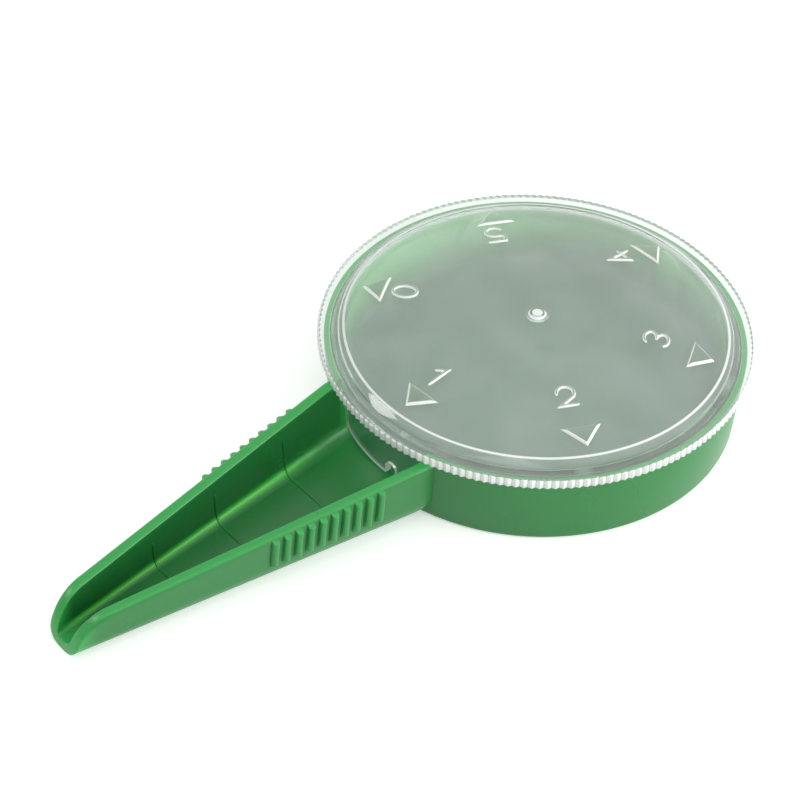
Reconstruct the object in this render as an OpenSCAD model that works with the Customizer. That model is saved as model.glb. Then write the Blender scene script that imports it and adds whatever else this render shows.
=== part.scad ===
// Dial seed sower: a round seed cup with a tapered pouring spout, and a clear
// dial lid whose skirt turns one of five ports to the spout, or none of them.
// The dial turns about +Z. The base lies on z = 0 and the spout points along -X.

/* [Seed cup] */
// Outer diameter of the cup at its foot
cup_d = 62; // [50:0.5:80]
// Lean of the cup's wall, out from upright
cup_lean = 4; // [0:0.1:6]
// Height of the cup's rim above the table
cup_h = 11.45; // [9.5:0.05:18]
// Thickness of the cup's wall
cup_wall = 1; // [0.9:0.1:2.2]
// Thickness of the floor in the cup and the spout
floor_t = 1.7; // [1:0.1:2.5]

/* [Spout] */
// Length of the spout from the cup's wall to its tip
spout_len = 55.6; // [45:0.1:80]
// Width of the spout across its foot, where it leaves the cup
mouth_w = 21.8; // [17:0.1:26]
// Width of the spout across its foot, at the tip
tip_w = 6.2; // [5.8:0.1:10]
// Thickness of the spout's side walls
spout_wall = 1.8; // [1.2:0.1:2]
// How far the lips lie under the cup's rim, at the cup
lip_drop = 0.15; // [0:0.05:1.5]
// Height of the lips where the nose starts to round off
nose_h = 7.1; // [5.5:0.1:9]
// Length of the rounded nose
nose_len = 6.6; // [4:0.1:9]
// Lean of the side walls, out from upright
wall_lean = 4.8; // [0:0.1:8]
// Radius inside the channel's corners, at the cup
mouth_corner_r = 2.4; // [0.8:0.1:3]
// Radius inside the channel's corners, at the tip
tip_corner_r = 0.9; // [0.5:0.1:1.1]
// Distance from the cup's wall to the first moulded cross line
line_1_at = 10.5; // [6:0.1:14]
// Distance from the cup's wall to the second cross line
line_2_at = 24.5; // [18:0.1:30]
// Distance from the cup's wall to the third cross line
line_3_at = 36.7; // [33:0.1:40]
// Width of a cross line
line_w = 0.35; // [0.2:0.05:0.8]
// Height of a cross line above the channel's skin
line_h = 0.2; // [0.1:0.05:0.4]
// How far under the lip a cross line stops
line_stop = 2.5; // [1:0.1:4]

/* [Grip ribs] */
// Ribs on each side of the spout
rib_count = 10; // [4:1:12]
// Distance from one rib to the next
rib_pitch = 1.9; // [1.6:0.05:2.4]
// Width of a rib
rib_w = 1.05; // [0.6:0.05:1.3]
// How far a rib stands out of the side wall
rib_h = 0.8; // [0.3:0.05:1.2]
// Distance from the cup's wall to the first rib
first_rib_at = 7.4; // [5:0.1:11]
// How far a rib stops short of the lip
rib_stop = 0.25; // [0.1:0.05:2]

/* [Dial lid] */
// How far the knurled rim overhangs the top of the cup's wall
rim_overhang = 1.1; // [0.5:0.1:3]
// Width of the flat rim, from the shoulder's foot to the knurl
rim_w = 2.5; // [1.2:0.1:3]
// Thickness of the rim
rim_t = 1.5; // [1:0.1:3]
// Gap between the cup's rim and the dial over it
seat_gap = 0.25; // [0.1:0.05:0.6]
// Number of knurl teeth
teeth = 180; // [90:2:220]
// Depth of a knurl tooth
tooth_depth = 0.3; // [0.1:0.05:0.6]
// Width of the sloping shoulder
shoulder_w = 1.3; // [0.8:0.1:2.4]
// Height of the sloping shoulder
shoulder_h = 1; // [0.8:0.05:2.5]
// Rise of the domed top over its shoulder
dome_h = 2.1; // [0.5:0.05:4]
// Thickness of the domed top
cover_t = 1.4; // [1:0.1:2]
// Diameter of the gate mark in the middle
gate_d = 3.6; // [2:0.1:5]
// Width of the gate mark's sloping edge
gate_edge = 0.5; // [0.2:0.1:0.8]
// Height of the gate mark
gate_h = 0.45; // [0.2:0.05:0.8]
// Angle of mark 1 past the spout's middle, as the dial was left
dial_turned = 4.6; // [-30:0.1:30]

/* [Raised marks] */
// Height of the marks above the dome
mark_h = 0.35; // [0.15:0.05:0.6]
// Width of a numeral's stroke
stroke = 0.5; // [0.3:0.05:0.7]
// Height of a numeral
digit_h = 4.2; // [3:0.1:4.5]
// Width of a numeral
digit_w = 3.1; // [1.8:0.1:3.4]
// Gaps from the pointers' bases to the numerals' middles, from 0 to 5
digit_gaps = [3.0, 3.5, 6.0, 5.5, 3.5, 3.0];
// Shifts of the numerals off their pointers' middles, from 0 to 5
digit_shifts = [0, -0.5, -0.5, 1.0, 1.5, 1.0];
// Length of a pointer
pointer_len = 3.7; // [2.5:0.1:4]
// Width of a pointer's base
pointer_w = 6.1; // [4:0.1:8]
// Distance from a pointer's tip to the sloping shoulder
pointer_inset = 1.8; // [0.6:0.1:3]

/* [Port skirt] */
// Running gap between the skirt and the cup's wall
skirt_gap = 0.25; // [0.1:0.05:0.5]
// Thickness of the skirt
skirt_t = 1.2; // [0.9:0.1:1.8]
// Gap between the skirt's lower edge and the floor
skirt_lift = 0.3; // [0.15:0.05:0.8]
// Width of the smallest port
port_w = 2.1; // [1.2:0.1:3]
// How much wider each port is than the one before
port_step = 1.6; // [0.8:0.1:2]
// Height of a port for each unit of its width
port_rise = 1.3; // [0.6:0.1:2]
// Least height of skirt left over a port
port_bridge = 0.8; // [0.5:0.1:2]
// How far the snap bead stands out of the skirt
bead_out = 0.4; // [0.2:0.05:0.6]
// Height of the snap bead
bead_t = 1; // [0.6:0.1:1.6]
// Depth of the snap bead's middle under the cup's rim
bead_drop = 1.9; // [1.5:0.1:3]

/* [Hidden] */

green = "#3f9a4f";
clear = "#c9d8d0";
frost = "#eef4ef";

fn_big = 180;
fn_small = 32;
over = 1;            // how far a cutting shape runs past what it cuts
sliver = 0.01;       // thickness of the slices that a tapered block is drawn between

// Cup and skirt: their walls lean alike, so each radius grows with the height z
cup_r = cup_d / 2;
function cup_out_r(z) = cup_r + z * tan(cup_lean);
function cup_in_r(z) = cup_out_r(z) - cup_wall;
function skirt_out_r(z) = cup_in_r(z) - skirt_gap;
function skirt_in_r(z) = skirt_out_r(z) - skirt_t;

// Rim and shoulder, from the outside in
rim_r = cup_out_r(cup_h) + rim_overhang;
rim_in_r = rim_r - rim_w;
shoulder_r = rim_in_r - shoulder_w;
pointer_base_r = shoulder_r - pointer_inset - pointer_len;

// Heights of the dial, from the table up
rim_z = cup_h + seat_gap;
rim_top_z = rim_z + rim_t;
shoulder_z = rim_top_z + shoulder_h;
skirt_z = floor_t + skirt_lift;
bead_z = cup_h - bead_drop;

// Marks: 0 to 5 at even steps, and the ports under marks 1 to 5
mark_count = 6;
mark_step = 360 / mark_count;
function mark_angle(n) = 180 + dial_turned + (n - 1) * mark_step;
function port_width(n) = port_w + (n - 1) * port_step;
function port_height(n) = min(port_rise * port_width(n), rim_z - skirt_z - port_bridge);

// The dome's height at a radius, and the radii at which it is drawn
dome_bands = 10;
dome_radii = [for (i = [0:dome_bands]) shoulder_r * i / dome_bands];
function dome_z(r) = shoulder_z + dome_h * (1 - pow(r / shoulder_r, 2));
function dome_line(lift) = [for (r = dome_radii) [r, dome_z(r) + lift]];
function reversed(list) = [for (i = [len(list) - 1:-1:0]) list[i]];

// The spout at distance u from the dial's axis
lean = tan(wall_lean);
mouth_lip_z = cup_h - lip_drop;
spout_reach = cup_r + spout_len;
nose_u = spout_reach - nose_len;
root_half = mouth_w / 2 + cup_h * lean;
root_u = cup_in_r(0) * cos(asin(min(0.9, root_half / cup_in_r(0)))) - over;
function along(u, u_a, a, u_b, b) = a + (b - a) * (u - u_a) / (u_b - u_a);
function foot_half(u) = along(u, cup_r, mouth_w, spout_reach, tip_w) / 2;
function corner_r(u) = along(u, cup_r, mouth_corner_r, spout_reach, tip_corner_r);
function lip_z(u) = along(u, cup_r, mouth_lip_z, nose_u, nose_h);

// A trough's section: half is its half width at z = 0, r its corner radius
corner_steps = 8;
function trough_side(half, r, low, high) =
    let (centre_z = low + r)
    let (centre_y = half + centre_z * lean - r / cos(wall_lean))
    concat([[half + high * lean, high]],
           [for (i = [0:corner_steps])
               let (a = -wall_lean - (90 - wall_lean) * i / corner_steps)
               [centre_y + r * cos(a), centre_z + r * sin(a)]]);
function trough_section(half, r, low, high) =
    let (side = trough_side(half, r, low, high))
    concat(side, [for (p = reversed(side)) [-p[0], p[1]]]);

// Puts a section's x across the spout, its y upright, and its depth outwards
module at_distance(u) {
    translate([-u, 0, 0]) rotate([90, 0, -90]) children();
}

// A tapered trough shape that starts inside the cup and ends at the tip.
// grow widens it, low is the height of its bottom, and extra_r adds to its corners.
module tapered_trough(grow, low, extra_r) {
    high = cup_h + rim_t + over;
    hull() {
        for (end = [root_u, spout_reach - sliver])
            at_distance(end)
                linear_extrude(sliver)
                    polygon(trough_section(foot_half(end) + grow, corner_r(end) + extra_r, low, high));
    }
}

module channel(skin = 0) {
    tapered_trough(-spout_wall - skin, floor_t + skin, -skin);
}

module trough_outside(grow = 0) {
    tapered_trough(grow, 0, spout_wall);
}

// The spout seen from the side: sloping lips and a rounded nose
module side_view() {
    nose_steps = 14;
    nose = [for (i = [0:nose_steps])
               let (a = 90 * i / nose_steps)
               [nose_u + nose_len * cos(a), nose_h * sin(a)]];
    outline = concat([[0, 0]], nose, [[cup_r, mouth_lip_z], [0, mouth_lip_z]]);
    rotate([90, 0, 0])
        linear_extrude(cup_d, center = true)
            polygon([for (p = outline) [-p[0], p[1]]]);
}

module cup_profile() {
    groove_r = cup_in_r(bead_z) + bead_out;
    half = bead_t / 2 + skirt_gap;
    polygon([[0, 0], [cup_r, 0], [cup_out_r(cup_h), cup_h], [cup_in_r(cup_h), cup_h],
             [cup_in_r(bead_z + half), bead_z + half],
             [groove_r, bead_z + half / 2],
             [groove_r, bead_z - half / 2],
             [cup_in_r(bead_z - half), bead_z - half],
             [cup_in_r(floor_t), floor_t], [0, floor_t]]);
}

module seed_cup() {
    color(green)
    difference() {
        rotate_extrude($fn = fn_big) cup_profile();
        channel();
    }
}

// Slabs across the spout, where the cross lines run up to near the lips
module line_slabs() {
    for (gap = [line_1_at, line_2_at, line_3_at]) {
        u = cup_r + gap;
        translate([-u - line_w / 2, -cup_r, 0])
            cube([line_w, cup_d, lip_z(u) - line_stop]);
    }
}

// The hollow of the spout, which leaves thin raised lines over the floor and sides
module lined_channel() {
    difference() {
        channel();
        difference() {
            line_slabs();
            channel(line_h);
        }
    }
}

module spout() {
    color(green)
    difference() {
        intersection() {
            trough_outside();
            side_view();
        }
        lined_channel();
        translate([0, 0, -over])
            cylinder(r1 = cup_out_r(-over), r2 = cup_out_r(cup_h + over), h = cup_h + 2 * over,
                     $fn = fn_big);
    }
}

// The ribs stand on the side wall, from the corner's start up to near the lip
module grip_ribs(side) {
    color(green)
    intersection() {
        difference() {
            trough_outside(rib_h);
            trough_outside();
        }
        for (i = [0:rib_count - 1]) {
            u = cup_r + first_rib_at + i * rib_pitch;
            low = corner_r(u) + spout_wall;
            translate([-u - rib_w / 2, side > 0 ? 0 : -cup_r, low])
                cube([rib_w, cup_r, lip_z(u) - rib_stop - low]);
        }
    }
}

module left_grip_ribs() {
    grip_ribs(-1);
}

module right_grip_ribs() {
    grip_ribs(1);
}

module cover_profile() {
    in_r = skirt_in_r(rim_z);
    polygon(concat(dome_line(0),
                   [[rim_in_r, rim_top_z], [rim_in_r, rim_z], [in_r, rim_z],
                    [in_r, dome_z(in_r) - cover_t]],
                   [for (p = reversed(dome_line(-cover_t))) if (p[0] < in_r) p]));
}

module dial_cover() {
    color(clear, 0.5) {
        rotate_extrude($fn = fn_big) cover_profile();
        translate([0, 0, dome_z(0) - cover_t / 2])
            cylinder(d1 = gate_d, d2 = gate_d - 2 * gate_edge, h = cover_t / 2 + gate_h,
                     $fn = fn_small);
    }
}

module knurled_rim() {
    points = [for (i = [0:2 * teeth - 1])
                 let (a = 180 * i / teeth, r = rim_r - (i % 2) * tooth_depth)
                 [r * cos(a), r * sin(a)]];
    color(frost, 0.6)
    translate([0, 0, rim_z])
        linear_extrude(rim_t)
            difference() {
                polygon(points);
                circle(r = rim_in_r, $fn = fn_big);
            }
}

module skirt_profile() {
    half = bead_t / 2;
    bead_r = skirt_out_r(bead_z) + bead_out;
    polygon([[skirt_in_r(skirt_z), skirt_z], [skirt_out_r(skirt_z), skirt_z],
             [skirt_out_r(bead_z - half), bead_z - half],
             [bead_r, bead_z - half / 2],
             [bead_r, bead_z + half / 2],
             [skirt_out_r(bead_z + half), bead_z + half],
             [skirt_out_r(rim_z), rim_z], [skirt_in_r(rim_z), rim_z]]);
}

// A port: a notch in the skirt's lower edge with a round top
module port(n) {
    r = port_width(n) / 2;
    straight = max(0, port_height(n) - r);
    rotate([0, 0, mark_angle(n)])
        translate([rim_r, 0, skirt_z])
            rotate([90, 0, -90])
                linear_extrude(rim_r - skirt_in_r(skirt_z) + over) {
                    translate([-r, -over]) square([2 * r, straight + over]);
                    translate([0, straight]) circle(r = r, $fn = fn_small);
                }
}

module port_skirt() {
    color(clear, 0.5)
    difference() {
        rotate_extrude($fn = fn_big) skirt_profile();
        for (n = [1:mark_count - 1]) port(n);
    }
}

// Places a flat drawing at mark n: its y runs towards the dial's axis
module at_mark(n, r) {
    rotate([0, 0, mark_angle(n) + 90]) translate([0, -r]) children();
}

// Keeps the part of a flat drawing that stands mark_h proud of the dome
module on_dome() {
    intersection() {
        translate([0, 0, shoulder_z]) linear_extrude(dome_h + 2 * mark_h) children();
        rotate_extrude($fn = fn_big)
            polygon(concat(dome_line(0), reversed(dome_line(mark_h))));
    }
}

// A straight stroke with round ends
module bar(from, to) {
    run = to - from;
    translate(from) rotate(atan2(run[1], run[0])) {
        translate([0, -stroke / 2]) square([norm(run), stroke]);
        circle(d = stroke, $fn = fn_small);
        translate([norm(run), 0]) circle(d = stroke, $fn = fn_small);
    }
}

// A curved stroke: part of an ellipse about centre, from angle a to angle b
module bow(centre, rx, ry, a, b) {
    steps = 20;
    turns = [for (i = [0:steps]) a + (b - a) * i / steps];
    function edge(grow) = [for (t = turns) centre + [(rx + grow) * cos(t), (ry + grow) * sin(t)]];
    polygon(concat(edge(stroke / 2), reversed(edge(-stroke / 2))));
}

// Numerals, drawn about their own middle
module numeral(n) {
    h = (digit_h - stroke) / 2;
    w = (digit_w - stroke) / 2;
    if (n == 0) {
        bow([0, 0], w, h, 0, 180);
        bow([0, 0], w, h, 180, 360);
    }
    if (n == 1) {
        bar([0, -h], [0, h]);
        bar([0, h], [-w, h - 0.8 * w]);
    }
    if (n == 2) {
        bow([0, h - w], w, w, -35, 180);
        bar([w * cos(35), h - w - w * sin(35)], [-w, -h]);
        bar([-w, -h], [w, -h]);
    }
    if (n == 3) {
        bow([0, h / 2], w, h / 2, -90, 150);
        bow([0, -h / 2], w, h / 2, -150, 90);
    }
    if (n == 4) {
        bar([w / 2, -h], [w / 2, h]);
        bar([w / 2, h], [-w, -h / 3]);
        bar([-w, -h / 3], [w, -h / 3]);
    }
    if (n == 5) {
        low_r = (h + h / 4) / 2;
        bar([w, h], [-w, h]);
        bar([-w, h], [-w, h / 4]);
        bow([0, -h + low_r], w, low_r, -150, 90);
        bar([-w, h / 4], [0, h / 4]);
    }
}

module dial_numerals() {
    color(frost)
    on_dome()
        for (n = [0:mark_count - 1])
            at_mark(n, pointer_base_r - digit_gaps[n])
                translate([digit_shifts[n], 0])
                    numeral(n);
}

// A pointer: a raised triangle with its tip outwards
module pointer() {
    polygon([[-pointer_w / 2, 0], [pointer_w / 2, 0], [0, -pointer_len]]);
}

module dial_pointers() {
    color(frost)
    on_dome()
        for (n = [0:mark_count - 1])
            at_mark(n, pointer_base_r) pointer();
}

seed_cup();
spout();
left_grip_ribs();
right_grip_ribs();
dial_cover();
knurled_rim();
port_skirt();
dial_numerals();
dial_pointers();
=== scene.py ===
"""Dial seed sower: green moulded cup and spout, with a clear dial lid that turns on it.

Sizes are in millimetres in the part's own frame: the dial's axis is Z, the table is z = 0, and
the spout runs along -X. Meshes are made in metres.
"""

import logging
import math
from dataclasses import dataclass, field
from enum import Enum
from typing import Callable, Sequence

import bmesh
import bpy
from mathutils import Matrix, Vector


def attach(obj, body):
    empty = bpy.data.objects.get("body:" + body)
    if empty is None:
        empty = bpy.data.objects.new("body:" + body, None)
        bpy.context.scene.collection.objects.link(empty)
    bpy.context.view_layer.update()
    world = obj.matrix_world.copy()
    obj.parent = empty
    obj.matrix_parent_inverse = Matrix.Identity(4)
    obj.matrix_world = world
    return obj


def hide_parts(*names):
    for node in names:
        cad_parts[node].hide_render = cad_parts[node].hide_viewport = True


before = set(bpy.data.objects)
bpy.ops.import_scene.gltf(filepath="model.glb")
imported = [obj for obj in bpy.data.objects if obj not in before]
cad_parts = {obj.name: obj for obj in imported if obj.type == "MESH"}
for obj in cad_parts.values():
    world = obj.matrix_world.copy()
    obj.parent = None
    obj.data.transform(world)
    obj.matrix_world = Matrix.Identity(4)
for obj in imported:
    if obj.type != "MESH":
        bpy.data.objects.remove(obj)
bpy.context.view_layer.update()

log = logging.getLogger("seed_sower")

MM = 0.001
Point = tuple[float, float]
Point3 = tuple[float, float, float]
Ramp = tuple[float, float]
Tree = bpy.types.NodeTree
Socket = bpy.types.NodeSocket
Piece = bpy.types.Object
BMesh = bmesh.types.BMesh


class Body(Enum):
    """The two mouldings, by the names of the bodies they move with."""

    HOUSING = "housing"
    DIAL = "dial"


class Slot(Enum):
    """The record's material slots."""

    GREEN = "green_body"
    CLEAR = "clear_dial"
    MARKS = "raised_marks"


class Side(Enum):
    """The two sides of the spout, as the sign of y."""

    LEFT = -1
    RIGHT = 1


# ---------------------------------------------------------------- helpers


def linear(hex_colour: str) -> tuple[float, float, float, float]:
    """Turns an sRGB hex colour to linear RGBA.

    Args:
        hex_colour: A colour such as "#3f9a4f".

    Returns:
        The linear red, green, blue and an alpha of 1.
    """
    parts = [int(hex_colour[i : i + 2], 16) / 255 for i in (1, 3, 5)]
    light = [c / 12.92 if c <= 0.04045 else ((c + 0.055) / 1.055) ** 2.4 for c in parts]
    return light[0], light[1], light[2], 1.0


def add_node(tree: Tree, kind: str, inputs: dict | None = None, **settings: str | bool) -> bpy.types.Node:
    """Adds a node with its settings, values and links.

    Args:
        tree: The node tree it goes into.
        kind: The node's type name, without ShaderNode.
        inputs: Socket name or index to a value, or to an output socket to link.
        **settings: The node's own properties.

    Returns:
        The new node.
    """
    node = tree.nodes.new(f"ShaderNode{kind}")
    for name, value in settings.items():
        setattr(node, name, value)
    for key, value in (inputs or {}).items():
        if isinstance(value, Socket):
            tree.links.new(value, node.inputs[key])
        else:
            node.inputs[key].default_value = value
    return node


def new_material(name: str) -> tuple[bpy.types.Material, Tree]:
    """Makes an empty node material.

    Args:
        name: The material's name.

    Returns:
        The material and its cleared node tree.
    """
    material = bpy.data.materials.new(name)
    material.use_nodes = True
    material.node_tree.nodes.clear()
    return material, material.node_tree


def let_lamps_through(tree: Tree, shader: bpy.types.Node, shadow_colour: str) -> None:
    """Ends a clear material so that lamps shine through it, and light what lies under it.

    Args:
        tree: The material's tree.
        shader: Its shader, as every other ray meets it.
        shadow_colour: What the plastic lets through of a lamp's light, at each of its faces.
    """
    path = add_node(tree, "LightPath")
    through = add_node(tree, "BsdfTransparent", {"Color": linear(shadow_colour)})
    mix = add_node(
        tree,
        "MixShader",
        {0: path.outputs["Is Shadow Ray"], 1: shader.outputs[0], 2: through.outputs[0]},
    )
    add_node(tree, "OutputMaterial", {"Surface": mix.outputs[0]})


def mask(tree: Tree, *parts: tuple[Socket, Ramp], level: float = 1.0) -> Socket:
    """Marks the place where every one of some values has gone up its ramp.

    Args:
        tree: The node tree.
        *parts: Values, each with where it starts to count and where it counts whole.
        level: The mask inside the place. It is 0 outside.

    Returns:
        The mask.
    """
    whole: Socket | float = level
    for value, (start, full) in parts:
        share = add_node(tree, "MapRange", {"Value": value, "From Min": start, "From Max": full})
        whole = add_node(tree, "Math", {0: whole, 1: share.outputs[0]}, operation="MULTIPLY").outputs[0]
    return whole


def between(value: Socket, limits: Ramp, results: Ramp) -> dict[str, Socket | float]:
    """Says that a value between two limits gives a result between two others.

    Args:
        value: The value.
        limits: Its two limits.
        results: What it gives at each.

    Returns:
        The inputs of a node that maps one range to another.
    """
    ends = zip(("From Min", "From Max", "To Min", "To Max"), limits + results)
    return {"Value": value, **dict(ends)}


def surface(tree: Tree) -> tuple[Socket, Socket, Socket]:
    """Finds where a point of a piece lies.

    Args:
        tree: The node tree.

    Returns:
        The point, the point without its height, and its distance from the dial's axis, in millimetres.
    """
    metres = add_node(tree, "TexCoord").outputs["Object"]
    where = add_node(tree, "VectorMath", {0: metres, "Scale": 1 / MM}, operation="SCALE").outputs[0]
    flat = add_node(tree, "VectorMath", {0: where, 1: (1.0, 1.0, 0.0)}, operation="MULTIPLY").outputs[0]
    radius = add_node(tree, "VectorMath", {0: flat}, operation="LENGTH").outputs["Value"]
    return where, flat, radius


def to_object(name: str, bm: BMesh, smooth_deg: float = 40.0) -> Piece:
    """Turns a bmesh in millimetres to an object in metres, smooth except at sharp edges.

    Args:
        name: The object's name.
        bm: The mesh. It is freed.
        smooth_deg: Edges sharper than this stay sharp.

    Returns:
        The object, linked to the scene.
    """
    bmesh.ops.scale(bm, vec=Vector((MM, MM, MM)), verts=bm.verts)
    mesh = bpy.data.meshes.new(name)
    bm.to_mesh(mesh)
    bm.free()
    shade(mesh, smooth_deg)
    piece = bpy.data.objects.new(name, mesh)
    bpy.context.scene.collection.objects.link(piece)
    return piece


def shade(mesh: bpy.types.Mesh, smooth_deg: float) -> None:
    """Shades a mesh smooth.

    Args:
        mesh: The mesh.
        smooth_deg: Edges sharper than this stay sharp.
    """
    mesh.polygons.foreach_set("use_smooth", [True] * len(mesh.polygons))
    mesh.set_sharp_from_angle(angle=math.radians(smooth_deg))
    mesh.update()


def revolve(profile: Sequence[Point], steps: int, radius: Callable[[int, float], float] | None = None) -> BMesh:
    """Turns a profile about Z.

    Args:
        profile: Points (r, z). Its first and last points lie on the axis.
        steps: Steps in a full turn.
        radius: Gives a point's radius from its step and its plain radius.

    Returns:
        A closed mesh in millimetres.
    """
    bm = bmesh.new()
    rows: list[list[bmesh.types.BMVert]] = []
    for r, z in profile:
        if r == 0:
            rows.append([bm.verts.new((0, 0, z))] * steps)
            continue
        row = []
        for k in range(steps):
            turn = 2 * math.pi * k / steps
            out = radius(k, r) if radius else r
            row.append(bm.verts.new((out * math.cos(turn), out * math.sin(turn), z)))
        rows.append(row)
    for low, high in zip(rows, rows[1:]):
        for k in range(steps):
            n = (k + 1) % steps
            face = list(dict.fromkeys((low[k], low[n], high[n], high[k])))
            if len(face) > 2:
                bm.faces.new(face)
    bmesh.ops.recalc_face_normals(bm, faces=bm.faces)
    return bm


def skin_rows(bm: BMesh, rows: Sequence[Sequence[bmesh.types.BMVert]], closed: bool = False) -> None:
    """Joins loops of points with faces.

    Args:
        bm: The mesh that the points are in.
        rows: Loops of equal length, in order.
        closed: Whether the last loop joins the first. Otherwise both ends are closed.
    """
    pairs = list(zip(rows, rows[1:])) + ([(rows[-1], rows[0])] if closed else [])
    for low, high in pairs:
        for k in range(len(low)):
            n = (k + 1) % len(low)
            bm.faces.new((low[k], low[n], high[n], high[k]))
    if not closed:
        bm.faces.new(rows[0])
        bm.faces.new(list(reversed(rows[-1])))


def loft(sections: Sequence[Sequence[Point3]], merge_mm: float = 0.002) -> BMesh:
    """Skins closed loops of equal length, and closes both ends.

    Args:
        sections: The loops, in order.
        merge_mm: Points closer than this become one.

    Returns:
        A closed mesh in millimetres.
    """
    bm = bmesh.new()
    skin_rows(bm, [[bm.verts.new(p) for p in loop] for loop in sections])
    bmesh.ops.remove_doubles(bm, verts=bm.verts, dist=merge_mm)
    bmesh.ops.dissolve_degenerate(bm, edges=bm.edges, dist=merge_mm / 2)
    bmesh.ops.recalc_face_normals(bm, faces=bm.faces)
    return bm


def add_part(whole: BMesh, part: BMesh) -> None:
    """Adds a part to a mesh.

    Args:
        whole: The mesh that it is added to.
        part: The part. It is freed.
    """
    mesh = bpy.data.meshes.new("part")
    part.to_mesh(mesh)
    part.free()
    whole.from_mesh(mesh)
    bpy.data.meshes.remove(mesh)


class Operation(Enum):
    """What is done with the other objects."""

    CUT = "DIFFERENCE"
    JOIN = "UNION"


def combine(piece: Piece, operation: Operation, others: Sequence[Piece], smooth_deg: float) -> None:
    """Cuts closed objects out of a piece or joins them to it for good, and removes them.

    Args:
        piece: The piece, which gets the new mesh.
        operation: Whether they are cut out or joined.
        others: Closed objects.
        smooth_deg: Edges sharper than this stay sharp.
    """
    for other in others:
        modifier = piece.modifiers.new("combine", "BOOLEAN")
        modifier.operation = operation.value
        modifier.solver = "EXACT"
        modifier.object = other
    bpy.context.view_layer.update()
    depsgraph = bpy.context.evaluated_depsgraph_get()
    mesh = bpy.data.meshes.new_from_object(piece.evaluated_get(depsgraph))
    piece.modifiers.clear()
    old = piece.data
    piece.data = mesh
    bpy.data.meshes.remove(old)
    mesh.name = piece.name
    for other in others:
        bpy.data.objects.remove(other)
    shade(mesh, smooth_deg)


def finish_piece(
    piece: Piece, material: bpy.types.Material, body: Body, nodes: Sequence[str]
) -> None:
    """Gives a piece its material, body and the CAD nodes that it stands for.

    Args:
        piece: The piece.
        material: Its material.
        body: The body that it rides on.
        nodes: CAD nodes that it replaces.
    """
    piece.data.materials.clear()
    piece.data.materials.append(material)
    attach(piece, body.value)
    if nodes:
        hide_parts(*nodes)
    log.info("%s: %d faces on %s", piece.name, len(piece.data.polygons), body.value)


def arc(
    centre: Point, radius: float, start_deg: float, end_deg: float, steps: int = 16, rise: float | None = None
) -> list[Point]:
    """Points along part of a circle or of an ellipse.

    Args:
        centre: Its centre.
        radius: A circle's radius, or half an ellipse's width.
        start_deg: Its first angle.
        end_deg: Its last angle.
        steps: Steps between them.
        rise: Half an ellipse's height. A circle needs none.

    Returns:
        steps + 1 points.
    """
    turns = [math.radians(start_deg + (end_deg - start_deg) * i / steps) for i in range(steps + 1)]
    high = radius if rise is None else rise
    return [(centre[0] + radius * math.cos(t), centre[1] + high * math.sin(t)) for t in turns]


# ---------------------------------------------------------------- finishes


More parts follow.
